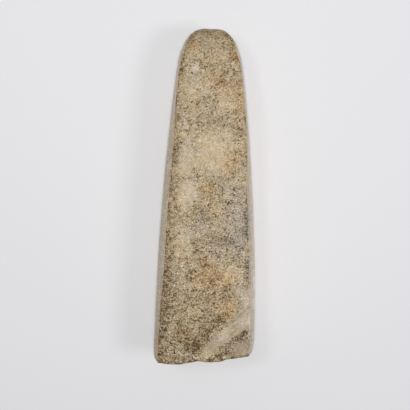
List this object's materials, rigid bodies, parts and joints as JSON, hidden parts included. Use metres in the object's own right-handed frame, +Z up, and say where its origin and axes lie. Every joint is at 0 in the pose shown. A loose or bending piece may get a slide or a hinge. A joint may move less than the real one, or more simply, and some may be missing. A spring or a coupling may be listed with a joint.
{
  "type": "stone adze blade",
  "caption": "Long ground stone adze blade with a flat back and front, faceted sides, a blunt rounded butt and a bevelled cutting end that is broken off.",
  "frame": {"origin": "on the surface the blade lies on, under the middle of its bounding box", "axes": "+Y along the blade from the broken cutting end to the butt, +Z up out of the front face, +X to the right seen from above with the butt away"},
  "size_m": [0.0512, 0.17, 0.03],
  "materials": {
    "stone": "satin, ground smooth and worn"
  },
  "bodies": {
    "root": {"adze_blade": "stone"}
  },
  "joints": []
}
